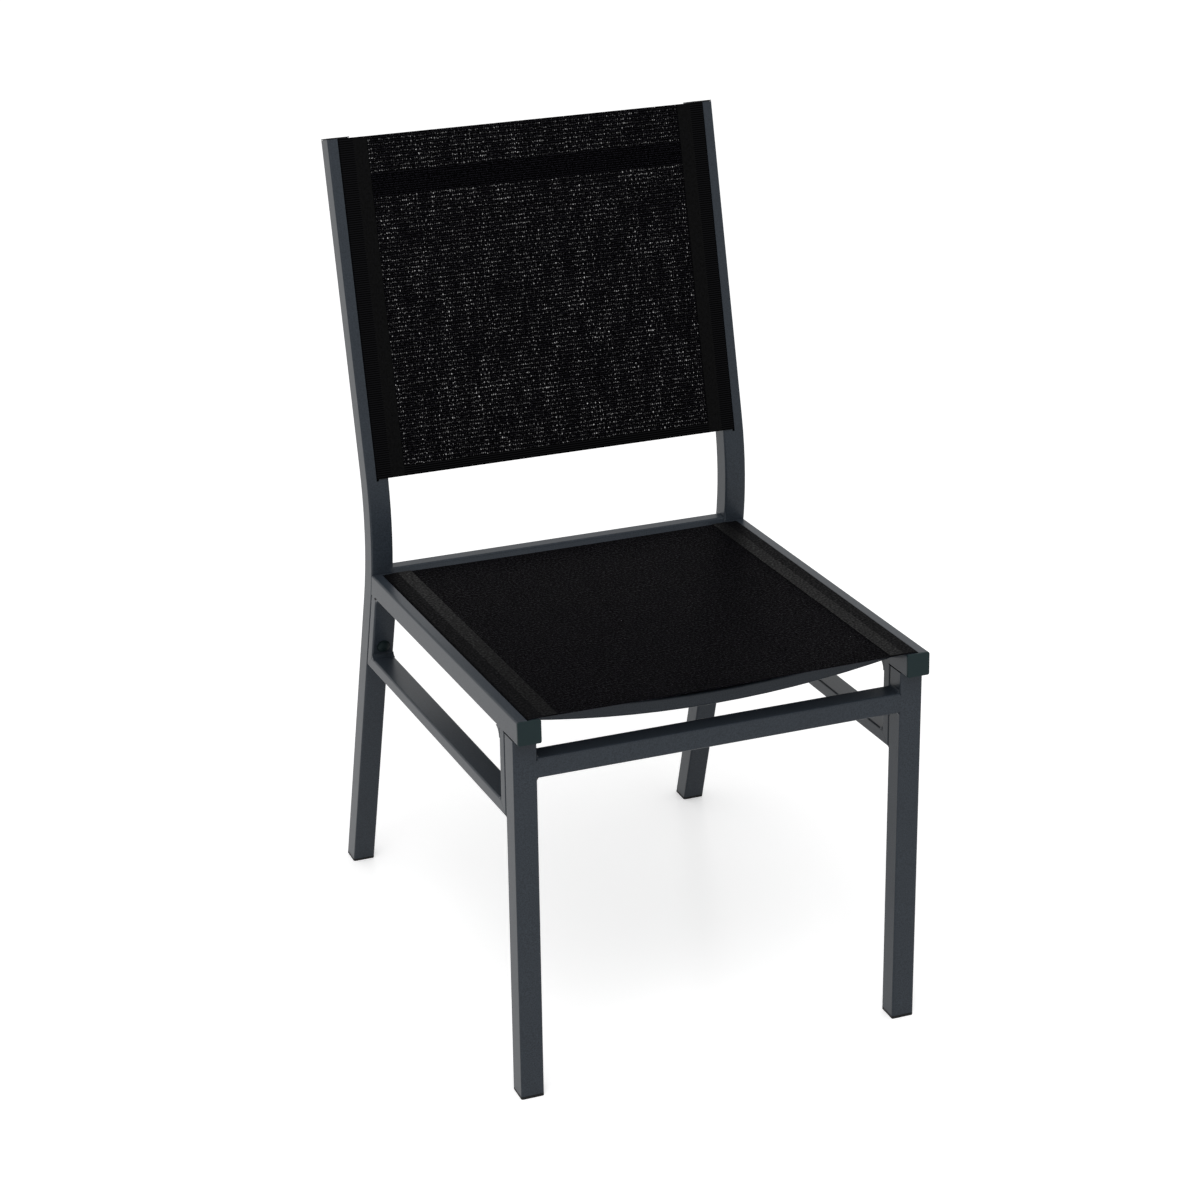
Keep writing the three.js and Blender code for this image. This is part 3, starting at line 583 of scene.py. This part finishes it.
# Along the sling: rows from end to end, and its ends rounded off.
ROWS = 44
FIRST_ROW = 3
LAST_ROW = 2
HEM_ROWS = 4
HEM_STEP = 0.8
END_ROUND = 0.5
END_LOSS = 0.35


def stretched_cloth(name, replaced, origin, along, outward, length, sag, end_hem):
    """A closed sheet on a grid. Its height above the tubes is the thickness of mesh or band, less a sag that
    is 1 - (x / inner)^2 between the tubes, and a fall of the pocket towards its slot, where it dives in.
    An end_hem longer than FIRST_ROW is a doubled hem across its far end."""
    hem_start = SIDE_CENTRE - POCKET_WIDTH - HEM_WIDTH
    pocket_start = SIDE_CENTRE - POCKET_WIDTH
    edge = SIDE_CENTRE + TUCK
    half_places = np.concatenate([
        [0], np.linspace(FIRST_PLACE, hem_start - STEP, MESH_PLACES),
        np.linspace(hem_start, pocket_start - STEP, HEM_PLACES),
        np.linspace(pocket_start, SIDE_CENTRE - FOLD_START, POCKET_PLACES),
        [SIDE_CENTRE - FOLD_END, edge - TUCK_ROUND, edge]])
    x = np.concatenate([-half_places[:0:-1], half_places])
    reach = np.abs(x)
    mesh_part = reach < hem_start - STEP / 2
    hem_part = ~mesh_part & (reach < pocket_start - STEP / 2)
    dip = np.where(reach < TUBE_INNER, sag * (1 - (reach / TUBE_INNER) ** 2), 0)
    top = np.where(mesh_part, MESH_THICKNESS, BAND_THICKNESS) + LIFT - dip
    top = top - POCKET_FALL * np.clip((reach - pocket_start) / POCKET_WIDTH, 0, 1)
    top = np.where(reach > SIDE_CENTRE - (FOLD_START + FOLD_END) / 2, LIFT + FOLD_HEIGHT, top)
    top = np.where(reach > SIDE_CENTRE, TUCK_TOP - TUCK_DEPTH, top)
    bottom = np.where(reach > SIDE_CENTRE - FOLD_START - STEP, -TUCK_DEPTH, LIFT - dip)
    v = np.concatenate([[0, END_ROUND], np.linspace(FIRST_ROW, length - end_hem - HEM_STEP, ROWS),
                        np.linspace(length - end_hem, length - LAST_ROW, HEM_ROWS),
                        [length - END_ROUND, length]])
    hemmed = (v >= length - end_hem) & (end_hem > FIRST_ROW)
    loss = np.where((v == 0) | (v == length), END_LOSS, 0)
    doubled = np.where(hemmed[None, :] & (reach[:, None] < hem_start), BAND_THICKNESS - MESH_THICKNESS, 0)
    grid_x, grid_v = np.meshgrid(x, v, indexing="ij")
    points = []
    for height in (top[:, None] + doubled - loss[None, :], bottom[:, None] + loss[None, :]):
        sheet = (np.array(origin) + grid_v[..., None] * np.array(along)
                 + height[..., None] * np.array(outward))
        sheet[..., 0] += grid_x
        points.append(sheet.reshape(-1, 3) * MM)

    rows, columns = grid_x.shape
    index = np.arange(rows * columns).reshape(rows, columns)
    upper = np.stack([index[:-1, :-1], index[1:, :-1], index[1:, 1:], index[:-1, 1:]], -1).reshape(-1, 4)
    lower = upper[:, ::-1] + rows * columns
    rim = np.concatenate([index[:, 0], index[-1, 1:], index[-2::-1, -1], index[0, -2:0:-1]])
    following = np.roll(rim, -1)
    walls = np.stack([following, rim, rim + rows * columns, following + rows * columns], -1)
    mesh = bpy.data.meshes.new(name)
    mesh.from_pydata(np.concatenate(points).tolist(), [], np.concatenate([upper, lower, walls]).tolist())

    uv = mesh.uv_layers.new(name="cloth")
    corner = np.zeros(len(mesh.loops), np.int32)
    mesh.loops.foreach_get("vertex_index", corner)
    flat_uv = np.tile(np.stack([grid_x.ravel(), grid_v.ravel()], -1) * MM, (2, 1))
    uv.data.foreach_set("uv", flat_uv[corner].ravel().astype(np.float32))
    open_points = mesh_part[:, None] & ~hemmed[None, :]
    hem_points = np.broadcast_to(hem_part[:, None], grid_x.shape)
    for label, values in (("open", open_points), ("hem", hem_points)):
        layer = mesh.attributes.new(label, "FLOAT", "POINT")
        layer.data.foreach_set("value", np.tile(values.ravel(), 2).astype(np.float32))

    piece = new_piece(name, mesh, cloth)
    mesh.materials.append(hem_cloth)
    mesh.materials.append(pocket_cloth)
    kind = np.digitize((reach[:-1] + reach[1:]) / 2, (hem_start, pocket_start))
    slots = np.concatenate([np.repeat(kind, columns - 1), np.zeros(len(lower) + len(walls))])
    mesh.polygons.foreach_set("material_index", slots.astype(np.int32))
    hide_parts(replaced)
    return piece


# The seat's sling starts behind the rail caps and has no hem across its front or rear.
SEAT_INSET = 3.4
SEAT_REAR = 470.0
SEAT_SAG = 1.0
seat_along = (0, math.cos(PITCH), -math.sin(PITCH))
seat_out = (0, math.sin(PITCH), math.cos(PITCH))
seat_origin = np.array([0, ROW_SHIFT, SEAT_HEIGHT]) + SEAT_INSET * np.array(seat_along)
seat_cloth = stretched_cloth("seat_sling_cloth", "seat_sling", seat_origin, seat_along, seat_out,
                             SEAT_REAR - SEAT_INSET, SEAT_SAG, end_hem=FIRST_ROW)

# The back's sling hangs from the top of the uprights to its hem above the bend.
RECLINE = math.radians(15.6)
BACK_TOP = (276.541, 904.972)
BACK_LENGTH = 382.6
BACK_SAG = 1.5
BACK_HEM = 11
back_down = (0, -math.sin(RECLINE), -math.cos(RECLINE))
back_out = (0, -math.cos(RECLINE), math.sin(RECLINE))
back_cloth = stretched_cloth("back_sling_cloth", "back_sling", (0, *BACK_TOP), back_down, back_out,
                             BACK_LENGTH, BACK_SAG, end_hem=BACK_HEM)

# The rods are extruded polyethylene, dark and slightly waxy, and hidden inside the tubes.
rod_plastic = dull_material("extruded_rod_polyethylene", "#151517", roughness=0.5, gloss=0.3)
for side in SIDES:
    for name in ("seat_sling_rod", "back_sling_rod"):
        smooth_copy(f"{name}_{side}", rod_plastic)
